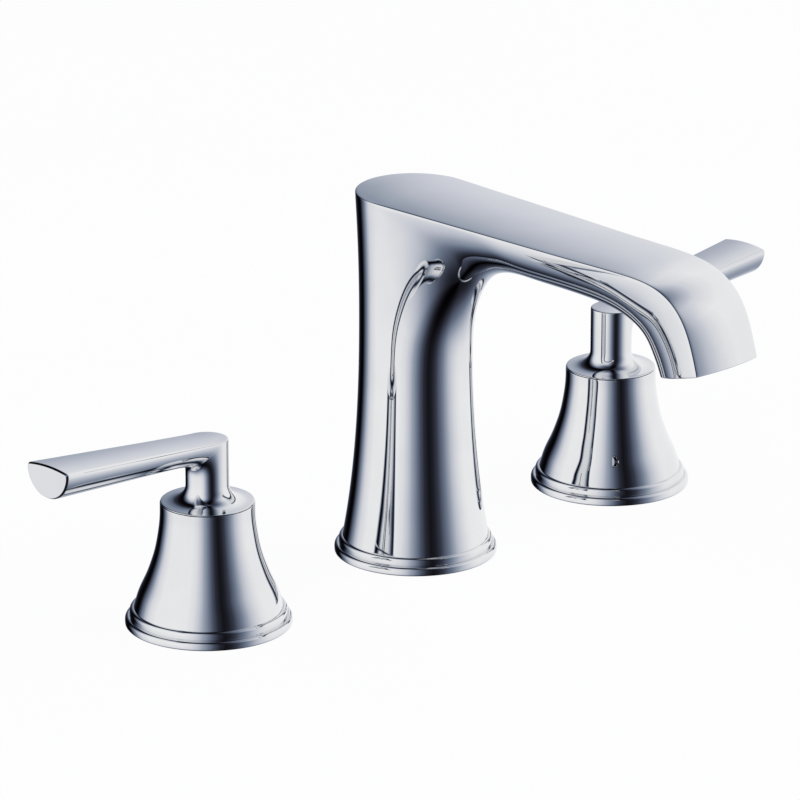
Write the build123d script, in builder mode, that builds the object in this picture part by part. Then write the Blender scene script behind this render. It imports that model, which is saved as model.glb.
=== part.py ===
from build123d import *
from math import cos, radians, sin
import os

os.makedirs("parts", exist_ok=True)

# Widespread basin faucet: a spout in the middle and a quarter-turn lever valve on each side.
# Millimetres. The deck top is z = 0, the spout stands on the origin and its arm runs along -Y.

# Layout
handle_spacing = 203.2
deck_thickness = 30.0

# Fits
running_clearance = 0.05
slip_clearance = 0.1
part_clearance = 0.3
cut_overrun = 2.0

# Stepped base ring, one under each of the three units
ring_radius = 28.7
ring_lower_height = 3.0
ring_upper_height = 3.0
ring_step = 1.6
ring_groove = 0.4
ring_rounding = 1.0
ring_foot_rounding = 0.4
ring_bore_radius = 22.4
gasket_thickness = 1.6
gasket_inset = 2.2

# Spout column
column_foot_radius = 26.0
column_waist_radius = 19.95
column_waist_height = 90.0
column_top_radius = 21.3
column_revolved_height = 60.0
column_bore_radius = 15.5
column_bore_height = 104.0
column_foot_flare_power = 2.6
column_top_flare_power = 2.0
column_profile_shares = (0.0, 0.12, 0.3, 0.55, 0.8, 1.0)

# Spout arm
spout_height = 132.1
spout_crown_radius = 115.0
arm_reach = 144.4
arm_bend_start = 113.0
arm_droop = 2.1
arm_depth = 17.9
arm_root_half_width = 21.3
arm_shoulder_half_width = 16.95
outlet_height = 100.9
outlet_half_width = 15.4
outlet_depth = 25.4
outlet_tilt = 14.5
bend_entry_handle = 22.5
bend_exit_handle = 18.0
elbow_reach = 56.7
elbow_rise = 34.2

# Waterway and aerator
tube_radius = 5.0
tube_wall = 1.0
tube_channel_gap = 1.2
tube_level = 122.3
tube_elbow_radius = 14.0
tube_outlet_radius = 12.0
tube_socket_depth = 3.0
aerator_radius = 10.0
aerator_wall = 1.8
aerator_depth = 13.0
aerator_recess = 0.8
aerator_lip = 0.9
aerator_washer_thickness = 1.5
screen_thickness = 0.8
screen_hole_radius = 0.55
screen_hole_spacing = 2.1
screen_ring_counts = (6, 12, 18)
core_hole_radius = 0.9
core_hole_ring_radius = 5.4
core_hole_count = 12

# Spout fixing
adapter_radius = 20.5
adapter_thickness = 14.0
adapter_screw_count = 3
adapter_screw_radius = 1.5
adapter_screw_length = 20.0
adapter_screw_head_radius = 2.8
adapter_screw_head_height = 2.5
adapter_screw_circle = 17.8
adapter_screw_start_angle = 90.0
spout_shank_radius = 10.45
spout_shank_bore = 6.5
spout_shank_drop = 78.0
shank_socket_depth = 10.0
tee_socket_wall = 3.6
tee_length = 27.0
tee_bore_radius = 5.0
port_radius = 8.3
port_length = 16.0
port_neck_radius = 7.0
port_reach = 34.0

# Deck washers and nuts
washer_radius = 25.0
rubber_washer_thickness = 3.0
steel_washer_thickness = 1.5
steel_washer_inset = 1.0
lock_nut_height = 11.0
spout_nut_across_flats = 34.0
valve_nut_across_flats = 40.0
upper_nut_height = 6.0
upper_nut_across_flats = 37.0

# Bell cover
bell_foot_radius = 25.6
bell_top_radius = 16.3
bell_top_height = 43.0
bell_wall = 2.0
bell_web_height = 27.0
bell_web_thickness = 3.0
bell_web_bite = 0.5
bell_height_shares = (0.0, 0.16, 0.32, 0.49, 0.68, 0.84, 1.0)
bell_flare_shares = (1.0, 0.80, 0.50, 0.27, 0.10, 0.012, 0.0)

# Valve body
valve_shank_radius = 14.0
valve_top_height = 18.0
valve_socket_radius = 10.6
valve_socket_floor = 4.0
valve_block_top = 58.0
valve_block_height = 24.0
valve_block_across_flats = 30.0
valve_supply_bore = 4.5
valve_channel_radius = 1.4
valve_port_reach = 36.0
valve_port_bore = 4.5
inlet_radius = 10.45
inlet_bore = 6.5
inlet_length = 18.0

# Cartridge
housing_flange_height = 5.0
housing_flange_across_flats = 23.0
housing_chamber_radius = 9.3
housing_chamber_height = 9.8
housing_neck_radius = 8.0
housing_neck_height = 11.0
housing_window_width = 8.0
housing_window_height = 4.2
housing_foot_gap = 0.5
retaining_nut_height = 3.0
retaining_nut_across_flats = 22.0
seal_thickness = 1.5
seal_bore = 5.0
disc_radius = 9.0
disc_port_radius = 2.3
disc_port_offset = 5.2
shut_angle = 90.0
fixed_disc_thickness = 4.0
turning_disc_thickness = 3.0
stem_radius = 4.5
stem_spline_radius = 4.0
stem_spline_height = 37.0
stem_top_height = 54.0
stem_flute_count = 16
stem_flute_radius = 0.35
driver_radius = 8.8
driver_thickness = 3.0
driver_key_length = 15.0
driver_key_width = 4.0
driver_key_depth = 1.5
o_ring_thickness = 1.2
o_ring_heights = (14.0, 26.0)
clip_thickness = 1.0
clip_radius = 6.2

# Handle
post_radius = 7.5
post_revolved_height = 50.0
hub_radius = 16.2
hub_edge_height = 44.2
hub_dish_drop = 0.25
hub_fillet_radius = 3.6
skirt_height = 4.0
skirt_wall = 2.0
socket_depth_height = 57.0
adapter_sleeve_radius = 5.5
adapter_sleeve_bottom = 36.2
set_screw_radius = 2.0
set_screw_height = 54.5
set_screw_length = 3.6
set_screw_socket_radius = 1.0
set_screw_socket_depth = 1.8
lever_reach = 73.5
lever_root_height = 66.9
lever_tip_height = 75.0
lever_crown_radius = 49.0
lever_root_half_width = 7.5
lever_tip_half_width = 10.0
lever_root_depth = 7.6
lever_tip_depth = 10.7
lever_end_rounding = 0.8
lever_elbow_reach = 16.0
lever_elbow_rise = 9.0

# Outlines of the two bent castings, as shares of the sizes named above
sections_per_row = 2
round_fullness_share = 0.5523
elbow_edge_forward_shares = (0.0, 0.053, 0.247, 0.6)
elbow_edge_drop_shares = (1.0, 0.53, 0.164, 0.026)
elbow_belly_forward_shares = (0.137, 0.341, 0.637, 1.0)
elbow_belly_drop_shares = (0.538, 0.228, 0.079, 0.0)
elbow_back_shares = (1.0, 1.2, 1.95, 1.5)
elbow_back_fullness_shares = (0.5523, 0.6, 0.75, 0.8)
elbow_width_shares = (0.94, 0.953, 0.965, 0.944)
arm_edge_forward_shares = (0.55, 0.81, 1.0)
arm_belly_forward_shares = (0.66, 0.855, 0.955)
arm_depth_shares = (0.945, 0.98, 1.11)
tip_edge_shares = (0.24, 0.52, 0.77, 1.0)
tip_belly_forward_shares = (0.55, 0.79, 0.9, 1.0)
tip_belly_rise_shares = (0.66, 0.31, 0.14, 0.0)
tip_width_shares = (1.03, 1.01, 1.0, 1.0)
arm_fullness_shares = (0.58, 0.6, 0.63)
tip_fullness_shares = (0.66, 0.68, 0.69, 0.69)
tip_back_share = 0.55
crown_station_shares = (-1.25, -0.6, 0.0, 0.6, 1.25)
lever_elbow_back_shares = (1.0, 1.2, 1.3)
lever_elbow_edge_forward_shares = (0.0, 0.1, 0.4)
lever_elbow_edge_drop_shares = (1.15, 0.42, 0.0)
lever_elbow_belly_forward_shares = (0.0, 0.08, 0.36)
lever_elbow_belly_drop_shares = (0.46, 0.17, 0.03)
lever_run_shares = (0.22, 0.42, 0.62, 0.82, 1.0)
lever_widening_shares = (0.16, 0.34, 0.56, 0.79, 1.0)

# Sizes that follow from the ones above
handle_offset = handle_spacing / 2
ring_height = ring_lower_height + ring_upper_height
ring_upper_radius = ring_radius - ring_step
adapter_top = ring_height + adapter_thickness
edge_bend_height = spout_height - arm_droop
belly_height = spout_height - arm_depth
deck_underside = -deck_thickness
sealing_stack = rubber_washer_thickness + steel_washer_thickness
valve_block_bottom = -valve_block_top - valve_block_height
seal_top = seal_thickness - valve_socket_floor
fixed_disc_top = seal_top + fixed_disc_thickness
turning_disc_top = fixed_disc_top + turning_disc_thickness
flange_top = valve_top_height + housing_flange_height
neck_top = flange_top + housing_neck_height
hub_underside = bell_top_height + part_clearance
sideways = Vector(1, 0, 0)


def finish(piece, name):
    """Name a finished piece and write it."""
    piece.part.label = name
    export_step(piece.part, f"parts/{name}.step")


def at_place(solid, name, x):
    """Write a piece that was built round the origin at its own place along the row."""
    with BuildPart() as placed:
        with Locations((x, 0, 0)):
            add(solid)
    finish(placed, name)


def on_both_sides(piece, name):
    """Write the left piece and, mirrored, the right one."""
    flipped = mirror(piece.part, about=Plane.YZ)
    at_place(piece.part, f"left_{name}", -handle_offset)
    at_place(flipped, f"right_{name}", handle_offset)


def nut(across_flats, bore, height, top):
    """A plain hexagon nut whose upper face is at the height top."""
    with BuildPart() as hexagon:
        with BuildSketch(Plane.XY.offset(top)):
            RegularPolygon(across_flats / 2, 6, major_radius=False)
            Circle(bore, mode=Mode.SUBTRACT)
        extrude(amount=-height)
    return hexagon


def washer(radius, bore, thickness, top):
    """A flat washer whose upper face is at the height top."""
    with BuildPart() as flat:
        with BuildSketch(Plane.XY.offset(top)):
            Circle(radius)
            Circle(bore, mode=Mode.SUBTRACT)
        extrude(amount=-thickness)
    return flat


# Base ring, turned in two steps with a fine groove between them
def make_base_ring():
    with BuildPart() as ring:
        with BuildSketch(Plane.XZ) as profile:
            with BuildLine():
                Polyline(
                    (ring_bore_radius, 0),
                    (ring_radius, 0),
                    (ring_radius, ring_lower_height),
                    (ring_upper_radius - ring_groove, ring_lower_height),
                    (ring_upper_radius - ring_groove, ring_lower_height + ring_groove),
                    (ring_upper_radius, ring_lower_height + ring_groove),
                    (ring_upper_radius, ring_height),
                    (ring_bore_radius, ring_height),
                    close=True,
                )
            make_face()
            fillet(profile.vertices().group_by(Axis.Y)[-1].sort_by(Axis.X)[-1], ring_rounding)
            fillet(profile.vertices().group_by(Axis.X)[-1].sort_by(Axis.Y)[-1], ring_rounding)
            fillet(profile.vertices().group_by(Axis.X)[-1].sort_by(Axis.Y)[0], ring_foot_rounding)
        revolve(axis=Axis.Z)
        with BuildSketch():
            Circle(ring_radius - gasket_inset)
        extrude(amount=gasket_thickness, mode=Mode.SUBTRACT)
    return ring


def make_gasket():
    """Foam gasket in the recess under the ring, flush with the deck."""
    return washer(
        ring_radius - gasket_inset - slip_clearance, ring_bore_radius, gasket_thickness, gasket_thickness
    )


# Half of a bent casting's cross-section: widest at its upper edge, with the belly below
def half_section(edge_centre, belly, half_width, fullness, back, back_fullness, side):
    down = belly - edge_centre
    depth = down.length
    plane = Plane(origin=edge_centre, x_dir=side, z_dir=side.cross(down * -1))
    with BuildSketch(plane) as section:
        with BuildLine():
            Bezier(
                (0, -depth),
                (fullness * half_width, -depth),
                (half_width, -fullness * depth),
                (half_width, 0),
            )
            Bezier(
                (half_width, 0),
                (half_width, back_fullness * back),
                (back_fullness * half_width, back),
                (0, back),
            )
            Line((0, back), (0, -depth))
        make_face()
    return section.sketch


# Round half section where a casting leaves its turned foot
def half_disc(height, radius, side):
    with BuildSketch(Plane(origin=(0, 0, height), x_dir=side)) as section:
        with BuildLine():
            CenterArc((0, 0), radius, -90, 90)
            CenterArc((0, 0), radius, 0, 90)
            Line((0, radius), (0, -radius))
        make_face()
    return section.sketch


def smooth(values, place):
    """Value at a fractional place along a smooth curve through a row of values."""
    first = min(int(place), len(values) - 2)
    t = place - first
    a, b = values[first], values[first + 1]
    before = values[first - 1] if first > 0 else a * 2 - b
    after = values[first + 2] if first + 2 < len(values) else b * 2 - a
    slope_a = (b - before) * 0.5
    slope_b = (after - a) * 0.5
    bow = a * -3 + b * 3 - slope_a * 2 - slope_b
    turn = a * 2 - b * 2 + slope_a + slope_b
    return a + slope_a * t + bow * t**2 + turn * t**3


def faired_sections(rows, side):
    """Half sections at even steps through rows that were chosen by hand."""
    columns = list(zip(*rows))
    steps = (len(rows) - 1) * sections_per_row
    return [
        half_section(*[smooth(column, step / sections_per_row) for column in columns], side)
        for step in range(steps + 1)
    ]


def round_row(centre, forward, radius):
    """A level, circular row of a column or post."""
    return centre, centre + forward * radius, radius, round_fullness_share, radius, round_fullness_share


def column_radius(height):
    """Radius of the column, which flares out below and above its waist."""
    if height < column_waist_height:
        share = (column_waist_height - height) / (column_waist_height - ring_height)
        flare = column_foot_radius - column_waist_radius
        return column_waist_radius + flare * share**column_foot_flare_power
    share = (height - column_waist_height) / (spout_height - column_waist_height)
    flare = column_top_radius - column_waist_radius
    return column_waist_radius + flare * share**column_top_flare_power


# Line along the upper edges of the arm, seen from the side: straight, then down to the outlet
def arm_point(forward, height):
    return Vector(0, -forward, height)


def outlet_point(forward_share, up):
    """A point over the mouth: forward_share runs from its front edge to its inner edge."""
    tilt = radians(outlet_tilt)
    back = outlet_depth * forward_share
    forward = arm_reach - back * cos(tilt) - up * sin(tilt)
    return arm_point(forward, outlet_height - back * sin(tilt) + up * cos(tilt))


def crown_rise(half_width, crown_radius):
    """How far the crowned top stands above its edges."""
    return half_width**2 / (2 * crown_radius)


edge_bend = Bezier(
    arm_point(arm_bend_start, edge_bend_height),
    arm_point(
        arm_bend_start + bend_entry_handle,
        edge_bend_height - arm_droop * bend_entry_handle / arm_bend_start,
    ),
    outlet_point(0, bend_exit_handle),
    outlet_point(0, 0),
)


def arm_sections():
    """Half sections from the column, round the inner elbow, along the arm and down to the mouth."""
    forward = Vector(0, -1, 0)
    elbow_bottom = belly_height - elbow_rise
    above_edge = elbow_back_fullness_shares[-1]
    rows = [
        round_row(Vector(0, 0, height), forward, column_radius(height))
        for height in (column_revolved_height, elbow_bottom)
    ]
    elbow = zip(
        elbow_edge_forward_shares,
        elbow_edge_drop_shares,
        elbow_belly_forward_shares,
        elbow_belly_drop_shares,
        elbow_width_shares,
        elbow_back_shares,
        elbow_back_fullness_shares,
    )
    for edge_out, edge_drop, belly_out, belly_drop, width, back, back_fullness in elbow:
        edge = arm_point(edge_out * elbow_reach, spout_height - edge_drop * elbow_rise)
        belly_forward = column_waist_radius + belly_out * (elbow_reach - column_waist_radius)
        belly = arm_point(belly_forward, belly_height - belly_drop * elbow_rise)
        half_width = width * arm_root_half_width
        reach_back = back * column_waist_radius
        rows.append((edge, belly, half_width, round_fullness_share, reach_back, back_fullness))
    run = zip(arm_edge_forward_shares, arm_belly_forward_shares, arm_depth_shares, arm_fullness_shares)
    for edge_out, belly_out, depth, fullness in run:
        edge_height = spout_height - arm_droop * edge_out
        edge = arm_point(edge_out * arm_bend_start, edge_height)
        belly = arm_point(belly_out * arm_bend_start, edge_height - depth * arm_depth)
        half_width = arm_root_half_width + (arm_shoulder_half_width - arm_root_half_width) * edge_out
        rows.append((edge, belly, half_width, fullness, tip_back_share * arm_depth, above_edge))
    inner_end = outlet_point(1, 0)
    belly_start_forward = arm_belly_forward_shares[-1] * arm_bend_start
    belly_start_height = edge_bend_height - arm_depth_shares[-1] * arm_depth
    tip = zip(
        tip_edge_shares,
        tip_belly_forward_shares,
        tip_belly_rise_shares,
        tip_width_shares,
        tip_fullness_shares,
    )
    for edge_share, belly_out, belly_rise, width, fullness in tip:
        belly_forward = belly_start_forward + belly_out * (-inner_end.Y - belly_start_forward)
        belly_level = inner_end.Z + belly_rise * (belly_start_height - inner_end.Z)
        belly = arm_point(belly_forward, belly_level)
        half_width = width * outlet_half_width
        rows.append(
            (edge_bend @ edge_share, belly, half_width, fullness, tip_back_share * arm_depth, above_edge)
        )
    foot = half_disc(column_revolved_height, column_radius(column_revolved_height), sideways)
    return [foot] + faired_sections(rows, sideways)[1:]


# Solid above the crowned top of the spout, taken off the rough casting
def make_top_cutter():
    tilt = radians(outlet_tilt)
    tip_normal = Vector(0, -cos(tilt), sin(tilt))
    tip_down = Vector(0, -sin(tilt), -cos(tilt))
    root_rise = crown_rise(arm_root_half_width, spout_crown_radius)
    shoulder_rise = crown_rise(arm_shoulder_half_width, spout_crown_radius)
    tip_rise = crown_rise(outlet_half_width, spout_crown_radius)
    behind = 2 * column_top_radius
    beyond = 2 * arm_depth
    slope = (arm_droop + root_rise - shoulder_rise) / arm_bend_start
    stations = []
    for share in crown_station_shares:
        x = share * column_top_radius
        sink = crown_rise(x, spout_crown_radius)
        start = Vector(0, behind, spout_height + root_rise + slope * behind - sink)
        bend = arm_point(arm_bend_start, edge_bend_height + shoulder_rise - sink)
        tip = outlet_point(0, 0) + tip_normal * (tip_rise - sink)
        end = tip + tip_down * outlet_depth / 2
        bend_handle = bend + (bend - start).normalized() * bend_entry_handle
        tip_handle = tip - tip_down * bend_exit_handle
        with BuildSketch(Plane.YZ.offset(x)) as station:
            with BuildLine():
                Line((start.Y, start.Z), (bend.Y, bend.Z))
                Bezier(
                    (bend.Y, bend.Z),
                    (bend_handle.Y, bend_handle.Z),
                    (tip_handle.Y, tip_handle.Z),
                    (tip.Y, tip.Z),
                )
                Polyline(
                    (tip.Y, tip.Z),
                    (end.Y, end.Z),
                    (-arm_reach - beyond, end.Z),
                    (-arm_reach - beyond, spout_height + beyond),
                    (start.Y, spout_height + beyond),
                    (start.Y, start.Z),
                )
            make_face()
        stations.append(station.sketch)
    with BuildPart() as cutter:
        loft(sections=stations)
    return cutter


outlet_plane = Plane(
    origin=outlet_point(0.5, 0),
    x_dir=sideways,
    z_dir=outlet_point(0, 1) - outlet_point(0, 0),
)


def tube_path():
    """Centre line of the waterway: up the column, along the arm and down to the aerator."""
    low = outlet_point(0.5, aerator_depth)
    high = outlet_point(0.5, 2 * aerator_depth)
    lean = (low.Y - high.Y) / (low.Z - high.Z)
    corner = Vector(0, low.Y + lean * (tube_level - low.Z), tube_level)
    start = Vector(0, 0, adapter_top - tube_socket_depth)
    return FilletPolyline(
        start,
        Vector(0, 0, tube_level),
        corner,
        low,
        radius=(tube_elbow_radius, tube_outlet_radius),
    )


# Waterway tube, bent copper
def make_waterway_tube():
    with BuildPart() as tube:
        with BuildLine() as route:
            add(tube_path())
        with BuildSketch(Plane.XY.offset(adapter_top - tube_socket_depth)):
            Circle(tube_radius)
            Circle(tube_radius - tube_wall, mode=Mode.SUBTRACT)
        sweep(path=route.line)
    return tube


# Spout body: column and arm in one hollow casting
def make_spout_body():
    top_cutter = make_top_cutter()
    with BuildPart() as arm_half:
        loft(sections=arm_sections())
    with BuildPart() as body:
        with BuildSketch(Plane.XZ):
            with BuildLine():
                heights = [
                    ring_height + share * (column_revolved_height - ring_height)
                    for share in column_profile_shares
                ]
                outline = [(column_radius(z), z) for z in heights]
                Spline(outline)
                Polyline(
                    outline[-1],
                    (0, column_revolved_height),
                    (0, ring_height),
                    outline[0],
                )
            make_face()
        revolve(axis=Axis.Z)
        add(arm_half.part)
        add(mirror(arm_half.part, about=Plane.YZ, mode=Mode.PRIVATE))
        add(top_cutter.part, mode=Mode.SUBTRACT)
        with BuildSketch(Plane.XY.offset(ring_height)):
            Circle(adapter_radius)
        extrude(amount=adapter_thickness, mode=Mode.SUBTRACT)
        with BuildSketch(Plane.XY.offset(ring_height)):
            Circle(column_bore_radius)
        extrude(amount=column_bore_height - ring_height, mode=Mode.SUBTRACT)
        with BuildSketch(Plane.XY.offset(ring_height)):
            with adapter_screw_places():
                Circle(adapter_screw_radius)
        extrude(amount=adapter_screw_length, mode=Mode.SUBTRACT)
        with BuildLine() as channel_line:
            add(tube_path())
        with BuildSketch(Plane.XY.offset(adapter_top - tube_socket_depth)):
            Circle(tube_radius + tube_channel_gap)
        sweep(path=channel_line.line, mode=Mode.SUBTRACT)
        with BuildSketch(outlet_plane.offset(-cut_overrun)):
            Circle(aerator_radius)
        extrude(amount=aerator_depth + cut_overrun, mode=Mode.SUBTRACT)
    return body


# Aerator, screwed into the mouth of the arm
def make_aerator_housing():
    top = aerator_depth - aerator_washer_thickness
    with BuildPart() as housing:
        with BuildSketch(outlet_plane.offset(aerator_recess)):
            Circle(aerator_radius - slip_clearance)
        extrude(amount=top - aerator_recess)
        with BuildSketch(outlet_plane.offset(aerator_recess)):
            Circle(aerator_radius - aerator_wall - aerator_lip)
        extrude(amount=top, mode=Mode.SUBTRACT)
        with BuildSketch(outlet_plane.offset(aerator_recess + aerator_lip)):
            Circle(aerator_radius - aerator_wall)
        extrude(amount=top, mode=Mode.SUBTRACT)
    return housing


def make_aerator_screen():
    bottom = aerator_recess + aerator_lip
    with BuildPart() as screen:
        with BuildSketch(outlet_plane.offset(bottom)):
            Circle(aerator_radius - aerator_wall - slip_clearance)
            Circle(screen_hole_radius, mode=Mode.SUBTRACT)
            for ring, count in enumerate(screen_ring_counts):
                with PolarLocations(screen_hole_spacing * (ring + 1), count):
                    Circle(screen_hole_radius, mode=Mode.SUBTRACT)
        extrude(amount=screen_thickness)
    return screen


def make_aerator_core():
    bottom = aerator_recess + aerator_lip + screen_thickness
    top = aerator_depth - aerator_washer_thickness
    with BuildPart() as core:
        with BuildSketch(outlet_plane.offset(bottom)):
            Circle(aerator_radius - aerator_wall - slip_clearance)
            with PolarLocations(core_hole_ring_radius, core_hole_count):
                Circle(core_hole_radius, mode=Mode.SUBTRACT)
        extrude(amount=top - bottom)
    return core


def make_aerator_washer():
    with BuildPart() as seal:
        with BuildSketch(outlet_plane.offset(aerator_depth - aerator_washer_thickness)):
            Circle(aerator_radius - slip_clearance)
            Circle(tube_radius, mode=Mode.SUBTRACT)
        extrude(amount=aerator_washer_thickness)
    return seal


def adapter_screw_places():
    """Where the adapter's screws stand, spread evenly with one at the back."""
    return PolarLocations(adapter_screw_circle, adapter_screw_count, start_angle=adapter_screw_start_angle)


# Brass adapter that closes the column's foot and takes the shank and the tube
def make_spout_adapter():
    with BuildPart() as adapter:
        with BuildSketch(Plane.XY.offset(ring_height)):
            Circle(adapter_radius - slip_clearance)
        extrude(amount=adapter_thickness)
        with BuildSketch(Plane.XY.offset(ring_height)):
            Circle(spout_shank_radius)
        extrude(amount=shank_socket_depth, mode=Mode.SUBTRACT)
        with BuildSketch(Plane.XY.offset(ring_height)):
            Circle(tube_radius - tube_wall)
        extrude(amount=adapter_thickness, mode=Mode.SUBTRACT)
        with BuildSketch(Plane.XY.offset(adapter_top)):
            Circle(tube_radius)
        extrude(amount=-tube_socket_depth, mode=Mode.SUBTRACT)
        with Locations(Plane.XY.offset(ring_height)):
            with adapter_screw_places():
                Cylinder(
                    adapter_screw_radius,
                    adapter_thickness,
                    align=(Align.CENTER, Align.CENTER, Align.MIN),
                    mode=Mode.SUBTRACT,
                )
    return adapter


def make_adapter_screws():
    """Screws from below through the adapter into the foot of the column."""
    with BuildPart() as screws:
        with BuildSketch(Plane.XY.offset(ring_height)):
            with adapter_screw_places():
                Circle(adapter_screw_radius)
        extrude(amount=adapter_screw_length)
        with BuildSketch(Plane.XY.offset(ring_height)):
            with adapter_screw_places():
                Circle(adapter_screw_head_radius)
        extrude(amount=-adapter_screw_head_height)
    return screws


def make_spout_shank():
    with BuildPart() as shank:
        with BuildSketch(Plane.XY.offset(ring_height + shank_socket_depth)):
            Circle(spout_shank_radius)
            Circle(spout_shank_bore, mode=Mode.SUBTRACT)
        extrude(amount=-(ring_height + shank_socket_depth + spout_shank_drop))
    return shank


# Tee under the spout, with one port for the hose from each valve
def make_spout_tee():
    top = -spout_shank_drop + shank_socket_depth
    port_height = top - tee_length + port_radius + tee_socket_wall
    with BuildPart() as tee:
        with BuildSketch(Plane.XY.offset(top)):
            Circle(spout_shank_radius + tee_socket_wall)
        extrude(amount=-tee_length)
        with BuildSketch(Plane.YZ.offset(-port_reach)):
            with Locations((0, port_height)):
                Circle(port_radius)
        extrude(amount=port_length)
        with BuildSketch(Plane.YZ.offset(port_reach)):
            with Locations((0, port_height)):
                Circle(port_radius)
        extrude(amount=-port_length)
        with BuildSketch(Plane.YZ.offset(port_length - port_reach)):
            with Locations((0, port_height)):
                Circle(port_neck_radius)
        extrude(amount=2 * (port_reach - port_length))
        with BuildSketch(Plane.XY.offset(top)):
            Circle(spout_shank_radius)
        extrude(amount=-shank_socket_depth, mode=Mode.SUBTRACT)
        with BuildSketch(Plane.XY.offset(top)):
            Circle(tee_bore_radius)
        extrude(amount=port_height - top, mode=Mode.SUBTRACT)
        with BuildSketch(Plane.YZ.offset(-port_reach)):
            with Locations((0, port_height)):
                Circle(tee_bore_radius)
        extrude(amount=2 * port_reach, mode=Mode.SUBTRACT)
    return tee


# Bell: flared cover over the valve, with a web that the retaining nut holds down
def make_bell():
    heights = [ring_height + share * (bell_top_height - ring_height) for share in bell_height_shares]
    radii = [
        bell_top_radius + share * (bell_foot_radius - bell_top_radius) for share in bell_flare_shares
    ]
    outside = list(zip(radii, heights))
    inside = [(radius - bell_wall, height) for radius, height in outside]
    with BuildPart() as bell:
        with BuildSketch(Plane.XZ):
            with BuildLine():
                Spline(outside)
                Line(outside[-1], inside[-1])
                Spline(inside)
                Line(inside[0], outside[0])
            make_face()
        revolve(axis=Axis.Z)
        with BuildSketch(Plane.XY.offset(bell_web_height)):
            Circle(bell_top_radius + bell_web_bite)
            Circle(housing_neck_radius + slip_clearance, mode=Mode.SUBTRACT)
        extrude(amount=bell_web_thickness)
    return bell


# Valve body: threaded shank through the deck, inlet below and a side port to the spout
def make_valve_body():
    port_height = valve_block_bottom + valve_block_height / 2
    channel_offset = valve_socket_radius
    with BuildPart() as valve:
        with BuildSketch(Plane.XY.offset(valve_top_height)):
            Circle(valve_shank_radius)
        extrude(amount=-(valve_top_height + valve_block_top))
        with BuildSketch(Plane.XY.offset(-valve_block_top)):
            RegularPolygon(valve_block_across_flats / 2, 6, major_radius=False)
        extrude(amount=-valve_block_height)
        with BuildSketch(Plane.XY.offset(valve_block_bottom)):
            Circle(inlet_radius)
        extrude(amount=-inlet_length)
        with BuildSketch(Plane.YZ):
            with Locations((0, port_height)):
                Circle(port_neck_radius)
        extrude(amount=valve_port_reach - port_length)
        with BuildSketch(Plane.YZ.offset(valve_port_reach)):
            with Locations((0, port_height)):
                Circle(port_radius)
        extrude(amount=-port_length)
        with BuildSketch(Plane.XY.offset(valve_top_height)):
            Circle(valve_socket_radius)
        extrude(amount=-(valve_top_height + valve_socket_floor), mode=Mode.SUBTRACT)
        with BuildSketch(Plane.XY.offset(-valve_socket_floor)):
            Circle(valve_supply_bore)
        extrude(amount=valve_block_bottom + valve_socket_floor, mode=Mode.SUBTRACT)
        with BuildSketch(Plane.XY.offset(valve_block_bottom - inlet_length)):
            Circle(inlet_bore)
        extrude(amount=inlet_length, mode=Mode.SUBTRACT)
        with BuildSketch(Plane.XY.offset(turning_disc_top + housing_window_height)):
            with Locations((channel_offset, 0)):
                Circle(valve_channel_radius)
        extrude(
            amount=port_height - turning_disc_top - housing_window_height,
            mode=Mode.SUBTRACT,
        )
        with BuildSketch(Plane.YZ.offset(channel_offset)):
            with Locations((0, port_height)):
                Circle(valve_port_bore)
        extrude(amount=valve_port_reach, mode=Mode.SUBTRACT)
    return valve


# Cartridge housing: chamber for the discs, hexagon flange and threaded neck
def make_cartridge_housing():
    foot = housing_foot_gap - valve_socket_floor
    with BuildPart() as housing:
        with BuildSketch(Plane.XY.offset(foot)):
            Circle(valve_socket_radius - slip_clearance)
        extrude(amount=valve_top_height - foot)
        with BuildSketch(Plane.XY.offset(valve_top_height)):
            RegularPolygon(housing_flange_across_flats / 2, 6, major_radius=False)
        extrude(amount=housing_flange_height)
        with BuildSketch(Plane.XY.offset(flange_top)):
            Circle(housing_neck_radius)
        extrude(amount=housing_neck_height)
        with BuildSketch(Plane.XY.offset(foot)):
            Circle(housing_chamber_radius)
        extrude(amount=housing_chamber_height - foot, mode=Mode.SUBTRACT)
        with BuildSketch(Plane.XY.offset(foot)):
            Circle(stem_radius + running_clearance)
        extrude(amount=neck_top - foot, mode=Mode.SUBTRACT)
        with BuildSketch(Plane.YZ.offset(-valve_socket_radius)):
            with Locations((0, turning_disc_top + housing_window_height / 2)):
                Rectangle(housing_window_width, housing_window_height)
        extrude(amount=2 * valve_socket_radius, mode=Mode.SUBTRACT)
    return housing


def make_cartridge_seal():
    return washer(disc_radius, seal_bore, seal_thickness, seal_top)


def ceramic_disc(thickness, top, turned):
    """A lapped ceramic disc with two ports, turned by an angle from the row."""
    with BuildPart() as disc:
        with BuildSketch(Plane.XY.offset(top)):
            Circle(disc_radius)
            with PolarLocations(disc_port_offset, 2, start_angle=turned):
                Circle(disc_port_radius, mode=Mode.SUBTRACT)
        extrude(amount=-thickness)
    return disc


# Turning disc, with a slot that the stem's key drives
def make_turning_disc():
    with BuildPart() as disc:
        add(ceramic_disc(turning_disc_thickness, turning_disc_top, shut_angle).part)
        with BuildSketch(Plane.XY.offset(turning_disc_top)):
            Rectangle(driver_key_length + slip_clearance, driver_key_width + slip_clearance)
        extrude(amount=-driver_key_depth, mode=Mode.SUBTRACT)
    return disc


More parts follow.
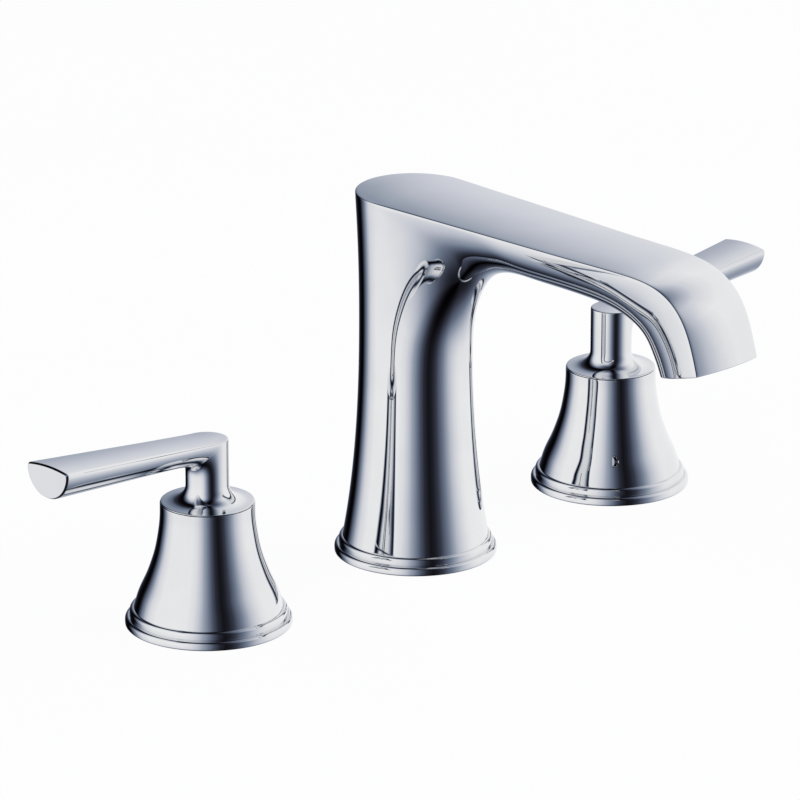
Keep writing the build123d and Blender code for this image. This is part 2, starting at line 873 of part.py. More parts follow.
# Stem: key and driver below, round journal with two ring grooves, fluted end for the handle
def make_stem():
    driver_top = housing_chamber_height - part_clearance
    driver_bottom = driver_top - driver_thickness
    key_bottom = turning_disc_top - driver_key_depth
    with BuildPart() as stem:
        with BuildSketch(Plane.XY.offset(key_bottom)):
            Rectangle(driver_key_length, driver_key_width)
        extrude(amount=driver_bottom - key_bottom)
        with BuildSketch(Plane.XY.offset(driver_bottom)):
            Circle(driver_radius)
        extrude(amount=driver_thickness)
        with BuildSketch(Plane.XY.offset(driver_top)):
            Circle(stem_radius)
        extrude(amount=stem_spline_height - driver_top)
        with BuildSketch(Plane.XY.offset(stem_spline_height)):
            Circle(stem_spline_radius)
            with PolarLocations(stem_spline_radius, stem_flute_count):
                Circle(stem_flute_radius, mode=Mode.SUBTRACT)
        extrude(amount=stem_top_height - stem_spline_height)
        for height in o_ring_heights:
            with BuildSketch(Plane.XY.offset(height - o_ring_thickness / 2)):
                Circle(stem_radius + cut_overrun)
                Circle(stem_radius - o_ring_thickness, mode=Mode.SUBTRACT)
            extrude(amount=o_ring_thickness, mode=Mode.SUBTRACT)
    return stem


def make_o_rings():
    """Two rubber rings in the stem's grooves."""
    with BuildPart() as rings:
        for height in o_ring_heights:
            with BuildSketch(Plane.XZ):
                with Locations((stem_radius - o_ring_thickness / 2, height)):
                    Circle(o_ring_thickness / 2)
            revolve(axis=Axis.Z)
    return rings


def make_stem_clip():
    """Snap ring that keeps the stem in the neck."""
    return washer(clip_radius, stem_radius, clip_thickness, neck_top + part_clearance + clip_thickness)


# Fluted adapter between the stem and the handle
def make_stem_adapter():
    with BuildPart() as sleeve:
        with BuildSketch(Plane.XY.offset(adapter_sleeve_bottom)):
            Circle(adapter_sleeve_radius)
        extrude(amount=socket_depth_height - adapter_sleeve_bottom)
        with BuildSketch(Plane.XY.offset(adapter_sleeve_bottom)):
            Circle(stem_radius + slip_clearance)
        extrude(amount=stem_spline_height - adapter_sleeve_bottom, mode=Mode.SUBTRACT)
        with BuildSketch(Plane.XY.offset(adapter_sleeve_bottom)):
            Circle(stem_spline_radius)
        extrude(amount=stem_top_height - adapter_sleeve_bottom, mode=Mode.SUBTRACT)
    return sleeve


# Set screw at the back of the post
def make_set_screw():
    outer = post_radius - part_clearance
    with BuildPart() as screw:
        with BuildSketch(Plane.XZ.offset(-outer)):
            with Locations((0, set_screw_height)):
                Circle(set_screw_radius)
        extrude(amount=set_screw_length - post_radius + adapter_sleeve_radius)
        with BuildSketch(Plane.XZ.offset(-outer)):
            with Locations((0, set_screw_height)):
                RegularPolygon(set_screw_socket_radius, 6)
        extrude(amount=set_screw_socket_depth, mode=Mode.SUBTRACT)
    return screw


def lever_sections():
    """Half sections up the post, round the elbow and out along the lever."""
    above_edge = elbow_back_fullness_shares[-1]

    def place(out, height):
        return Vector(-out, 0, height)

    def edge_height(out, half_width):
        crown = lever_root_height + (lever_tip_height - lever_root_height) * out / lever_reach
        return crown - crown_rise(half_width, lever_crown_radius)

    root_edge = edge_height(0, lever_root_half_width)
    root_belly = root_edge - lever_root_depth
    rows = [round_row(place(0, post_revolved_height), Vector(-1, 0, 0), post_radius)]
    elbow = zip(
        lever_elbow_edge_forward_shares,
        lever_elbow_edge_drop_shares,
        lever_elbow_belly_forward_shares,
        lever_elbow_belly_drop_shares,
        lever_elbow_back_shares,
        elbow_back_fullness_shares,
    )
    for edge_out, edge_drop, belly_out, belly_drop, back, back_fullness in elbow:
        edge = place(edge_out * lever_elbow_reach, root_edge - edge_drop * lever_elbow_rise)
        belly_forward = post_radius + belly_out * (lever_elbow_reach - post_radius)
        belly = place(belly_forward, root_belly - belly_drop * lever_elbow_rise)
        rows.append((edge, belly, post_radius, round_fullness_share, back * post_radius, back_fullness))
    for run, widening in zip(lever_run_shares, lever_widening_shares):
        out = run * lever_reach
        half_width = lever_root_half_width + widening * (lever_tip_half_width - lever_root_half_width)
        depth = lever_root_depth + run * (lever_tip_depth - lever_root_depth)
        height = edge_height(out, half_width)
        edge = place(out, height)
        belly = place(out, height - depth)
        rows.append((edge, belly, half_width, round_fullness_share, lever_root_depth, above_edge))
    across = Vector(0, -1, 0)
    return [half_disc(post_revolved_height, post_radius, across)] + faired_sections(rows, across)[1:]


# Handle: lever, post and dished flange in one casting
def make_handle():
    lever_slope = Vector(-lever_reach, 0, lever_tip_height - lever_root_height)
    skirt_radius = bell_top_radius - bell_wall - part_clearance
    with BuildPart() as lever_half:
        loft(sections=lever_sections())
    with BuildPart() as handle:
        with BuildSketch(Plane.XZ) as hub_profile:
            with BuildLine():
                Polyline(
                    (0, hub_underside),
                    (hub_radius, hub_underside),
                    (hub_radius, hub_edge_height),
                    (post_radius, hub_edge_height - hub_dish_drop),
                    (post_radius, post_revolved_height),
                    (0, post_revolved_height),
                    close=True,
                )
            make_face()
            fillet(
                hub_profile.vertices().sort_by_distance((post_radius, hub_edge_height - hub_dish_drop))[0],
                hub_fillet_radius,
            )
        revolve(axis=Axis.Z)
        add(lever_half.part)
        add(mirror(lever_half.part, about=Plane.XZ, mode=Mode.PRIVATE))
        with BuildSketch(
            Plane(
                origin=Vector(0, 0, lever_root_height) - lever_slope,
                x_dir=(0, -1, 0),
                z_dir=lever_slope,
            )
        ):
            with BuildLine():
                half = 2 * lever_tip_half_width
                sink = crown_rise(half, lever_crown_radius)
                ThreePointArc((-half, -sink), (0, 0), (half, -sink))
                Polyline(
                    (half, -sink),
                    (half, lever_reach),
                    (-half, lever_reach),
                    (-half, -sink),
                )
            make_face()
        extrude(amount=3 * lever_reach, mode=Mode.SUBTRACT)
        fillet(handle.faces().group_by(Axis.X)[0].edges(), lever_end_rounding)
        with BuildSketch(Plane.XY.offset(hub_underside)):
            Circle(skirt_radius)
            Circle(skirt_radius - skirt_wall, mode=Mode.SUBTRACT)
        extrude(amount=-skirt_height)
        with BuildSketch(Plane.XY.offset(adapter_sleeve_bottom)):
            Circle(post_radius)
        extrude(amount=hub_underside - adapter_sleeve_bottom)
        with BuildSketch(Plane.XY.offset(adapter_sleeve_bottom)):
            Circle(adapter_sleeve_radius)
        extrude(amount=socket_depth_height - adapter_sleeve_bottom, mode=Mode.SUBTRACT)
        with BuildSketch(Plane.XZ.offset(-post_radius - cut_overrun)):
            with Locations((0, set_screw_height)):
                Circle(set_screw_radius)
        extrude(amount=post_radius + cut_overrun, mode=Mode.SUBTRACT)
    return handle


# Spout unit
finish(make_spout_body(), "spout_body")
finish(make_waterway_tube(), "waterway_tube")
finish(make_aerator_housing(), "aerator_housing")
finish(make_aerator_screen(), "aerator_screen")
finish(make_aerator_core(), "aerator_core")
finish(make_aerator_washer(), "aerator_washer")
finish(make_spout_adapter(), "spout_adapter")
finish(make_adapter_screws(), "spout_adapter_screws")
finish(make_spout_shank(), "spout_shank")
finish(make_spout_tee(), "spout_tee")
finish(make_base_ring(), "spout_base_ring")
finish(make_gasket(), "spout_gasket")
spout_washer_bore = spout_shank_radius + slip_clearance
finish(
    washer(washer_radius, spout_washer_bore, rubber_washer_thickness, deck_underside),
    "spout_rubber_washer",
)
finish(
    washer(
        washer_radius - steel_washer_inset,
        spout_washer_bore,
        steel_washer_thickness,
        deck_underside - rubber_washer_thickness,
    ),
    "spout_steel_washer",
)
finish(
    nut(spout_nut_across_flats, spout_shank_radius, lock_nut_height, deck_underside - sealing_stack),
    "spout_lock_nut",
)

# Valve units, left and right
valve_washer_bore = valve_shank_radius + slip_clearance
valve_pieces = {
    "handle": make_handle(),
    "set_screw": make_set_screw(),
    "stem_adapter": make_stem_adapter(),
    "stem": make_stem(),
    "stem_clip": make_stem_clip(),
    "stem_o_rings": make_o_rings(),
    "turning_disc": make_turning_disc(),
    "fixed_disc": ceramic_disc(fixed_disc_thickness, fixed_disc_top, 0),
    "cartridge_seal": make_cartridge_seal(),
    "cartridge_housing": make_cartridge_housing(),
    "bell": make_bell(),
    "bell_nut": nut(
        retaining_nut_across_flats,
        housing_neck_radius,
        retaining_nut_height,
        bell_web_height + bell_web_thickness + retaining_nut_height,
    ),
    "base_ring": make_base_ring(),
    "gasket": make_gasket(),
    "valve_body": make_valve_body(),
    "upper_lock_nut": nut(upper_nut_across_flats, valve_shank_radius, upper_nut_height, upper_nut_height),
    "rubber_washer": washer(washer_radius, valve_washer_bore, rubber_washer_thickness, deck_underside),
    "steel_washer": washer(
        washer_radius - steel_washer_inset,
        valve_washer_bore,
        steel_washer_thickness,
        deck_underside - rubber_washer_thickness,
    ),
    "lower_lock_nut": nut(
        valve_nut_across_flats,
        valve_shank_radius,
        lock_nut_height,
        deck_underside - sealing_stack,
    ),
}
for piece_name, valve_piece in valve_pieces.items():
    on_both_sides(valve_piece, piece_name)
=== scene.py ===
from math import atan2, cos, pi, radians, sin

import bmesh
import bpy
import numpy as np
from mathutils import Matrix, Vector


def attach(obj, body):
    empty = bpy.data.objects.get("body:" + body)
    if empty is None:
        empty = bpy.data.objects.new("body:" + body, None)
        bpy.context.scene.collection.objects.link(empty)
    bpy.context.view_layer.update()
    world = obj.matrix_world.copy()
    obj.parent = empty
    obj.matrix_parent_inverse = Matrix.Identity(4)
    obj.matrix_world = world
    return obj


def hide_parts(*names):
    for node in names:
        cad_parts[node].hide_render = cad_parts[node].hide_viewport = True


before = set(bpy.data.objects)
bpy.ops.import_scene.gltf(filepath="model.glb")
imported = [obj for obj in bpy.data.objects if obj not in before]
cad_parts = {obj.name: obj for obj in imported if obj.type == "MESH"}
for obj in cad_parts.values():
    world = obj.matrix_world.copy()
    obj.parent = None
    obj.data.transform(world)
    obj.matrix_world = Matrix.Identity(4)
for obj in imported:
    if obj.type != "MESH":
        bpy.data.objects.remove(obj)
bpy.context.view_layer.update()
mm = 0.001

# Camera
# The photograph looks at the faucet from the left and a little above, through a long lens,
# so the far handle is only slightly smaller than the near one.
bpy.ops.object.select_all(action="DESELECT")
bpy.ops.object.camera_add(location=(-1.46500, -1.42018, 0.74578))
camera = bpy.context.object
aim = Vector((-0.0789822, -0.0693586, 0.0910391))
camera.rotation_euler = (aim - camera.location).to_track_quat("-Z", "Y").to_euler()
camera.data.lens = 276.372
camera.data.sensor_width = 36.0
camera.data.clip_end = 20.0
bpy.context.scene.camera = camera
bpy.context.scene.view_settings.view_transform = "Standard"


# Studio
# White walls stand to the left and right of the faucet, and dark cloth hangs in front of it
# and behind it. Polished metal shows little else, so its dark lines come from that cloth.
def add_node(tree, kind, inputs=(), **settings):
    """A node with its settings; an input is a value or the output of another node."""
    node = tree.nodes.new(kind)
    for name, value in settings.items():
        setattr(node, name, value)
    for socket, value in dict(inputs).items():
        if isinstance(value, bpy.types.NodeSocket):
            tree.links.new(value, node.inputs[socket])
        else:
            node.inputs[socket].default_value = value
    return node


def linear(hex_colour):
    """The linear colour of an sRGB hex value."""
    parts = [int(hex_colour[i : i + 2], 16) / 255 for i in (1, 3, 5)]
    return [p / 12.92 if p <= 0.04045 else ((p + 0.055) / 1.055) ** 2.4 for p in parts] + [1.0]


def set_ramp(node, stops, ease="EASE"):
    """Give a colour ramp its stops, each a place from 0 to 1 and a hex colour."""
    ramp = node.color_ramp
    ramp.interpolation = ease
    while len(ramp.elements) < len(stops):
        ramp.elements.new(0.5)
    for element, (place, colour) in zip(ramp.elements, stops):
        element.position = place
        element.color = linear(colour)


world = bpy.data.worlds.new("studio")
bpy.context.scene.world = world
world.use_nodes = True
tree = world.node_tree
tree.nodes.clear()
direction = add_node(tree, "ShaderNodeTexCoord").outputs["Generated"]
axes = add_node(tree, "ShaderNodeSeparateXYZ", {0: direction})
bearing = add_node(
    tree, "ShaderNodeMath", {0: axes.outputs["Y"], 1: axes.outputs["X"]}, operation="ARCTAN2"
)
turn = add_node(
    tree,
    "ShaderNodeMapRange",
    {"Value": bearing.outputs[0], "From Min": -pi, "From Max": pi, "To Min": 0.0, "To Max": 1.0},
)
around = add_node(tree, "ShaderNodeValToRGB", {"Fac": turn.outputs[0]})
walls = (
    (-170, "FE"), (-158, "F1"), (-150, "DA"), (-142.5, "B1"), (-135, "88"), (-127.5, "57"),
    (-120, "2F"), (-111, "16"), (-103, "25"), (-95, "3F"), (-87.5, "67"), (-80, "89"),
    (-72.5, "B0"), (-65, "D1"), (-56, "E8"), (-45, "F8"), (-35, "FF"), (25, "FF"),
    (36, "F5"), (42.5, "DB"), (48, "B2"), (54, "7C"), (62, "3B"), (72, "15"),
    (82, "03"), (89, "04"), (93, "1F"), (99, "58"), (107.5, "97"), (113.5, "C7"),
    (122, "EC"), (138, "FF"),
)
set_ramp(around, [((angle + 180) / 360, "#" + grey * 3) for angle, grey in walls], "LINEAR")
tilt = add_node(
    tree,
    "ShaderNodeMapRange",
    {"Value": axes.outputs["Z"], "From Min": -1.0, "From Max": 1.0, "To Min": 0.0, "To Max": 1.0},
)
level = add_node(tree, "ShaderNodeValToRGB", {"Fac": tilt.outputs[0]})
heights = (
    (-90, "19"), (-75, "24"), (-67.5, "34"), (-60, "4D"), (-52.5, "6F"), (-47.5, "86"),
    (-42.5, "A4"), (-37.5, "BF"), (-32.5, "D7"), (-27.5, "E8"), (-22.5, "F6"), (-15, "FE"),
    (35, "FE"), (45, "F3"), (52.5, "E5"), (60, "BB"), (67.5, "7C"), (75, "45"), (90, "19"),
)
set_ramp(level, [((sin(radians(angle)) + 1) / 2, "#" + grey * 3) for angle, grey in heights], "LINEAR")
bright = add_node(
    tree,
    "ShaderNodeMath",
    {0: around.outputs["Color"], 1: level.outputs["Color"]},
    operation="MULTIPLY",
)
tinted = add_node(tree, "ShaderNodeValToRGB", {"Fac": bright.outputs[0]})
greys = (
    (0.0, "#020203"), (0.007, "#141419"), (0.018, "#22232B"), (0.035, "#313441"), (0.07, "#454B5A"),
    (0.13, "#5E667A"), (0.21, "#748094"), (0.30, "#8D97A9"), (0.43, "#A8B0BE"), (0.55, "#C1C5D1"),
    (0.70, "#D7DAE3"), (0.86, "#EEEFF2"), (1.0, "#FFFFFF"),
)
set_ramp(tinted, greys, "LINEAR")
seen = add_node(tree, "ShaderNodeLightPath")
background = add_node(
    tree,
    "ShaderNodeMix",
    {0: seen.outputs["Is Camera Ray"], 6: tinted.outputs["Color"], 7: linear("#FFFFFF")},
    data_type="RGBA",
)
sky = add_node(tree, "ShaderNodeBackground", {"Color": background.outputs[2], "Strength": 1.0})
add_node(tree, "ShaderNodeOutputWorld", {"Surface": sky.outputs[0]})

# Two soft lamps light what isn't metal; the metal shows the walls and not the lamps
for place, size in (((-1.6, -0.9, 1.7), 1.4), ((1.5, -1.1, 1.5), 1.4)):
    bpy.ops.object.light_add(type="AREA", location=place)
    lamp = bpy.context.object
    lamp.rotation_euler = (Vector((0, 0, 0.05)) - lamp.location).to_track_quat("-Z", "Y").to_euler()
    lamp.data.size = size
    lamp.data.energy = 14.0
    lamp.visible_glossy = False

# Floor
# A plain sheet of white paper under the faucet, a hair below the three rings that stand on the
# deck. It is lit so evenly that only a trace of the faucet's shadow is left on it.
bpy.ops.mesh.primitive_plane_add(size=8.0, location=(0, 0, -0.05 * mm))
floor = bpy.context.object
floor.name = "floor"
paper = bpy.data.materials.new("white_paper")
paper.use_nodes = True
tree = paper.node_tree
tree.nodes.clear()
grain = add_node(tree, "ShaderNodeTexNoise", {"Scale": 60.0, "Detail": 3.0})
tint = add_node(tree, "ShaderNodeValToRGB", {"Fac": grain.outputs["Fac"]})
set_ramp(tint, ((0.3, "#F4F4F4"), (0.7, "#FAFAFA")))
matt = add_node(tree, "ShaderNodeBsdfDiffuse", {"Color": tint.outputs["Color"]})
glow = add_node(tree, "ShaderNodeEmission", {"Color": linear("#FFFFFF"), "Strength": 1.0})
even_light = 0.96
seen = add_node(tree, "ShaderNodeLightPath")
mirrored = add_node(
    tree,
    "ShaderNodeMath",
    {0: seen.outputs["Is Glossy Ray"], 1: seen.outputs["Is Transmission Ray"]},
    operation="MAXIMUM",
)
shown = add_node(
    tree,
    "ShaderNodeMath",
    {0: seen.outputs["Is Camera Ray"], 1: mirrored.outputs[0]},
    operation="MAXIMUM",
)
share = add_node(tree, "ShaderNodeMath", {0: shown.outputs[0], 1: even_light}, operation="MULTIPLY")
sheet = add_node(tree, "ShaderNodeMixShader", {0: share.outputs[0], 1: matt.outputs[0], 2: glow.outputs[0]})
add_node(tree, "ShaderNodeOutputMaterial", {"Surface": sheet.outputs[0]})
floor.data.materials.append(paper)
floor.visible_glossy = False

# Chrome
# Bright nickel-chrome plate over polished brass: a cool white mirror that hardly scatters.
# Polishing leaves a very shallow wave in it, and handling leaves a faint uneven haze.
def start_finish(name):
    """A new material, its empty node tree, and the Object coordinates for its patterns."""
    material = bpy.data.materials.new(name)
    material.use_nodes = True
    tree = material.node_tree
    tree.nodes.clear()
    return material, tree, add_node(tree, "ShaderNodeTexCoord").outputs["Object"]


def colours(tree, pattern, *stops):
    """The colours that a pattern's values stand for."""
    ramp = add_node(tree, "ShaderNodeValToRGB", {"Fac": pattern})
    set_ramp(ramp, stops)
    return ramp.outputs["Color"]


def values(tree, pattern, low, high):
    """A pattern's usual spread, 0.3 to 0.7, as the numbers from low to high."""
    spread = {"Value": pattern, "From Min": 0.3, "From Max": 0.7, "To Min": low, "To Max": high}
    return add_node(tree, "ShaderNodeMapRange", spread).outputs[0]


def relief(tree, pattern, strength, depth):
    """A pattern as relief of a depth in millimetres."""
    bump = {"Height": pattern, "Strength": strength, "Distance": depth * mm}
    return add_node(tree, "ShaderNodeBump", bump).outputs[0]


def end_finish(tree, colour, roughness, **others):
    """The shader of a finish, and the material's output."""
    inputs = {"Base Color": colour, "Roughness": roughness, **others}
    surface = add_node(tree, "ShaderNodeBsdfPrincipled", inputs)
    add_node(tree, "ShaderNodeOutputMaterial", {"Surface": surface.outputs[0]})


chrome, tree, place = start_finish("polished_chrome_plate")
haze = add_node(tree, "ShaderNodeTexNoise", {"Vector": place, "Scale": 1 / (18 * mm), "Detail": 4.0})
wave = add_node(tree, "ShaderNodeTexNoise", {"Vector": place, "Scale": 1 / (9 * mm), "Detail": 1.0})
end_finish(
    tree,
    colours(tree, haze.outputs["Fac"], (0.3, "#E4E5E7"), (0.7, "#E8E9EA")),
    values(tree, haze.outputs["Fac"], 0.012, 0.028),
    Metallic=1.0,
    Normal=relief(tree, wave.outputs["Fac"], 0.015, 0.05),
)


# Spout
# Hollow brass casting, polished and chromed: a column that flares to its foot, and an arm that
# leaves it in a tight elbow and turns down to the outlet. Its outline is drawn ring by ring.
ring_points = 28
circle = 0.5523  # the fullness at which cast_ring draws a quarter circle
merge_distance = 0.01 * mm


def round_ring(radius, height):
    """A level ring of points (side, out, up); it starts at one side and goes round the back."""
    steps = [2 * pi * i / ring_points for i in range(ring_points)]
    return [(radius * cos(a), -radius * sin(a), height) for a in steps]


def cast_ring(edge, belly, half_width, fullness, back):
    """A ring whose back half is given, and whose front half runs from edge to belly and back."""
    (edge_out, edge_up), (belly_out, belly_up) = edge, belly
    at_edge, at_belly = fullness
    quarter = ring_points // 4
    half = []
    for i in range(quarter + 1):
        t = i / quarter
        a, b, c, d = (1 - t) ** 3, 3 * t * (1 - t) ** 2, 3 * t**2 * (1 - t), t**3
        side = half_width * (a + b + c * at_belly)
        down = b * at_edge + c + d
        half.append((side, edge_out + down * (belly_out - edge_out), edge_up + down * (belly_up - edge_up)))
    left = [(-side, out, up) for side, out, up in half[1:]]
    right = half[1:-1][::-1]
    return back + left + right


def fair(stops, rows, at):
    """Rows of numbers at new stops, on curves through the given ones with no jump in their bend."""
    stops, rows = np.array(stops, float), np.array(rows, float)
    gaps = np.diff(stops)
    slopes = np.diff(rows, axis=0) / gaps[:, None]
    matrix = np.eye(len(stops))
    pull = np.zeros_like(rows)
    for i in range(1, len(stops) - 1):
        matrix[i, i - 1 : i + 2] = gaps[i - 1], 2 * (gaps[i - 1] + gaps[i]), gaps[i]
        pull[i] = 6 * (slopes[i] - slopes[i - 1])
    bend = np.linalg.solve(matrix, pull)
    out = []
    for s in at:
        i = min(max(int(np.searchsorted(stops, s)) - 1, 0), len(gaps) - 1)
        g, t, r = gaps[i], s - stops[i], stops[i + 1] - s
        out.append(
            (bend[i] * r**3 + bend[i + 1] * t**3) / (6 * g)
            + (rows[i] / g - bend[i] * g / 6) * r
            + (rows[i + 1] / g - bend[i + 1] * g / 6) * t
        )
    return out


def draw_out(name, rings, place):
    """A tube drawn out of a circle, extrusion by extrusion, and closed at both ends."""
    bpy.ops.object.select_all(action="DESELECT")
    bpy.ops.mesh.primitive_circle_add(vertices=ring_points, radius=0.02)
    tube = bpy.context.object
    tube.name = name
    bpy.ops.object.mode_set(mode="EDIT")
    bpy.ops.mesh.select_all(action="SELECT")
    mesh = bmesh.from_edit_mesh(tube.data)
    for vertex, point in zip(mesh.verts, rings[0]):
        vertex.co = place(point)
    for ring in rings[1:]:
        bpy.ops.mesh.extrude_region_move()
        mesh = bmesh.from_edit_mesh(tube.data)
        mesh.verts.ensure_lookup_table()
        for vertex, point in zip(mesh.verts[-ring_points:], ring):
            vertex.co = place(point)
    bpy.ops.mesh.select_mode(type="VERT")
    for first in (0, len(mesh.verts) - ring_points):
        bpy.ops.mesh.select_all(action="DESELECT")
        mesh = bmesh.from_edit_mesh(tube.data)
        mesh.verts.ensure_lookup_table()
        for vertex in mesh.verts[first : first + ring_points]:
            vertex.select_set(True)
        mesh.select_flush(True)
        bmesh.update_edit_mesh(tube.data)
        bpy.ops.mesh.edge_face_add()
    return tube


def select_edges(piece, wanted):
    """Select the edges of a piece in edit mode whose two vertex numbers pass the test."""
    bpy.ops.mesh.select_mode(type="EDGE")
    bpy.ops.mesh.select_all(action="DESELECT")
    mesh = bmesh.from_edit_mesh(piece.data)
    for edge in mesh.edges:
        edge.select_set(wanted(*sorted(v.index for v in edge.verts)))
    bmesh.update_edit_mesh(piece.data)


def finish_casting(piece, levels):
    """Subdivide a casting's cage, turn its faces outward and smooth it."""
    bpy.ops.mesh.select_all(action="SELECT")
    bpy.ops.mesh.remove_doubles(threshold=merge_distance)
    bpy.ops.mesh.normals_make_consistent(inside=False)
    bpy.ops.object.mode_set(mode="OBJECT")
    smoothing = piece.modifiers.new("smooth", "SUBSURF")
    smoothing.levels = smoothing.render_levels = levels
    bpy.ops.object.modifier_apply(modifier=smoothing.name)
    bpy.ops.object.shade_smooth()


column_waist, column_foot, column_top = 19.95, 26.0, 21.3
spout_height, ring_height, waist_height = 132.1, 6.0, 90.0
crown_bow = 2 * 115.0  # twice the radius of the crowned top
shoulder_out, shoulder_half_width = 113, 16.95  # where the arm turns down
arm_droop = 2.1 / shoulder_out
seam_height = 5.92  # the column and the bells reach a hair into their rings


def column_radius(up):
    """The column's radius: it flares to the foot and, less, to the top."""
    if up < waist_height:
        share = (waist_height - up) / (waist_height - ring_height)
        return column_waist + (column_foot - column_waist) * share**2.6
    share = (up - waist_height) / (spout_height - waist_height)
    return column_waist + (column_top - column_waist) * share**2


cavity = ((15.5, 24.0), (15.5, 20.0), (20.5, 20.0), (20.5, seam_height), (column_foot - 0.3, seam_height))
rings = [round_ring(radius, up) for radius, up in cavity]
column_heights = (seam_height, 6.15, 8.2, 11.5, 16.5, 23.5, 33.0, 46.0, 60.0)
rings += [round_ring(column_radius(up), up) for up in column_heights]

# Under the elbow the rings lean back: edge height, belly place and fullness of each
elbow = (
    (72.0, 20.1, 72.0, circle, circle),
    (82.0, 20.55, 81.6, circle, circle),
    (90.5, 22.4, 89.6, circle, circle),
    (98.5, 25.4, 96.0, 0.555, circle),
    (107.0, 29.0, 102.0, 0.575, 0.555),
    (115.5, 33.0, 106.6, 0.605, 0.56),
    (124.0, 37.6, 109.5, 0.645, 0.57),
    (spout_height, 42.6, 111.3, 0.69, 0.58),
)
for up, belly_out, belly_up, at_edge, at_belly in elbow:
    radius = column_radius(up)
    back = round_ring(radius, up)[: ring_points // 2 + 1]
    if up == spout_height:
        back = [(side, out, up - arm_droop * out) for side, out, up in back]
    rings.append(cast_ring((0, up), (belly_out, belly_up), radius, (at_edge, at_belly), back))
corner_ring = len(rings) - 1

# Along the arm: length of the edge line, edge place, belly place, half width, fullness and the
# radius of the crowned top, which tightens where the arm turns down
arm = (
    (0, 0.0, 132.10, 42.6, 111.3, 21.30, 0.69, 0.58, 115),
    (16, 16.0, 131.80, 49.6, 113.1, 20.70, 0.63, 0.58, 115),
    (34, 34.0, 131.47, 56.9, 114.1, 20.00, 0.595, 0.58, 115),
    (62, 62.0, 130.95, 74.7, 114.0, 18.92, 0.58, 0.58, 115),
    (92, 92.0, 130.39, 96.0, 112.9, 17.75, 0.60, 0.60, 115),
    (113, 113.0, 130.00, 107.5, 109.9, 16.95, 0.63, 0.63, 106),
    (126.5, 126.3, 127.80, 114.0, 104.8, 15.86, 0.66, 0.66, 76),
    (138.3, 136.0, 121.20, 117.0, 99.3, 15.55, 0.68, 0.68, 56),
    (148.9, 141.1, 111.90, 118.5, 96.5, 15.40, 0.69, 0.69, 50),
    (160.4, 144.4, 100.90, 119.8, 93.9, 15.40, 0.69, 0.69, 49),
)
arm_stops = (
    7, 14, 21, 28, 35, 44, 54, 65, 76, 87, 97, 105.5, 112.5, 118.5, 124, 129, 134, 139, 144, 149.5, 155,
    158.5, 160.4,
)
straight_from = 6  # before this stop the rows over the crown still fan out from the column's round back
stops = [row[0] for row in arm]
rows = [row[1:] for row in arm]
straight_out = fair(stops, rows, [arm_stops[straight_from]])[0][0]
for number, stop in enumerate(arm_stops):
    row = fair(stops, rows, [stop])[0]
    edge_out, edge_up, belly_out, belly_up, half_width, at_edge, at_belly, crown = row
    before, after = fair(stops, rows, [stop - 0.5, stop + 0.5])
    lean = atan2(after[1] - before[1], after[0] - before[0])
    even = min(1.0, (number + 1) / (straight_from + 1))
    middle = edge_out
    if number < straight_from:
        middle = -column_top + (straight_out + column_top) * even
    back = []
    for i in range(ring_points // 2 + 1):
        a = 2 * pi * i / ring_points
        side = half_width * ((1 - even) * cos(a) + even * (1 - 4 * i / ring_points))
        out = edge_out + (middle - edge_out) * sin(a)
        if out < 0:
            rise = (column_top**2 - side**2 - out**2) / crown_bow
            back.append((side, out, spout_height - arm_droop * out + rise))
        elif number < straight_from:
            width = column_top + (shoulder_half_width - column_top) * out / shoulder_out
            rise = (width**2 - side**2) / crown_bow
            back.append((side, out, spout_height - arm_droop * out + rise))
        else:
            rise = (half_width**2 - side**2) / (2 * crown)
            back.append((side, edge_out - rise * sin(lean), edge_up + rise * cos(lean)))
    edge, belly = (edge_out, edge_up), (belly_out, belly_up)
    rings.append(cast_ring(edge, belly, half_width, (at_edge, at_belly), back))
mouth_ring = len(rings) - 1

# The mouth: a flat face with a round bore that holds the aerator
outlet_out, outlet_up, outlet_tilt = 132.10, 97.72, radians(14.5)
for radius, depth in ((10.3, 0.0), (10.05, 0.25), (10.05, 12.9), (5.0, 12.9)):
    rings.append(
        [
            (
                side,
                outlet_out - out * cos(outlet_tilt) - depth * sin(outlet_tilt),
                outlet_up - out * sin(outlet_tilt) + depth * cos(outlet_tilt),
            )
            for side, out, _ in round_ring(radius, 0.0)
        ]
    )

spout = draw_out("spout_casting", rings, lambda p: Vector((p[0], -p[1], p[2])) * mm)


def is_spout_rim(a, b):
    """Whether an edge lies on the sharp rim of the arm's top or on the rim of the mouth."""
    (ring_a, spot_a), (ring_b, spot_b) = divmod(a, ring_points), divmod(b, ring_points)
    if ring_a == ring_b:
        over_the_back = max(spot_a, spot_b) <= ring_points // 2
        return ring_a == mouth_ring or (ring_a == corner_ring and over_the_back)
    return spot_a == spot_b and spot_a in (0, ring_points // 2) and corner_ring <= ring_a < mouth_ring


# The elbow is smoothed over where the column's rings turn into the arm's
first_smooth, last_smooth = corner_ring - 5, corner_ring + 6
bpy.ops.mesh.select_mode(type="VERT")
bpy.ops.mesh.select_all(action="DESELECT")
mesh = bmesh.from_edit_mesh(spout.data)
for vertex in mesh.verts:
    ring, spot = divmod(vertex.index, ring_points)
    vertex.select_set(first_smooth <= ring <= last_smooth and ring_points // 2 < spot)
bmesh.update_edit_mesh(spout.data)
bpy.ops.mesh.vertices_smooth(factor=0.5, repeat=4)
select_edges(spout, is_spout_rim)
bpy.ops.mesh.bevel(offset=0.45 * mm, segments=2, profile=0.5, affect="EDGES")
finish_casting(spout, 3)


def fit(piece, finish, body, node=None):
    """Give a piece its finish and the body it rides on, and let it stand for a CAD node."""
    piece.data.materials.clear()
    piece.data.materials.append(finish)
    piece.visible_glossy = finish is chrome
    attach(piece, body)
    if node:
        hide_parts(node)


fit(spout, chrome, "spout_and_valves", "spout_body")


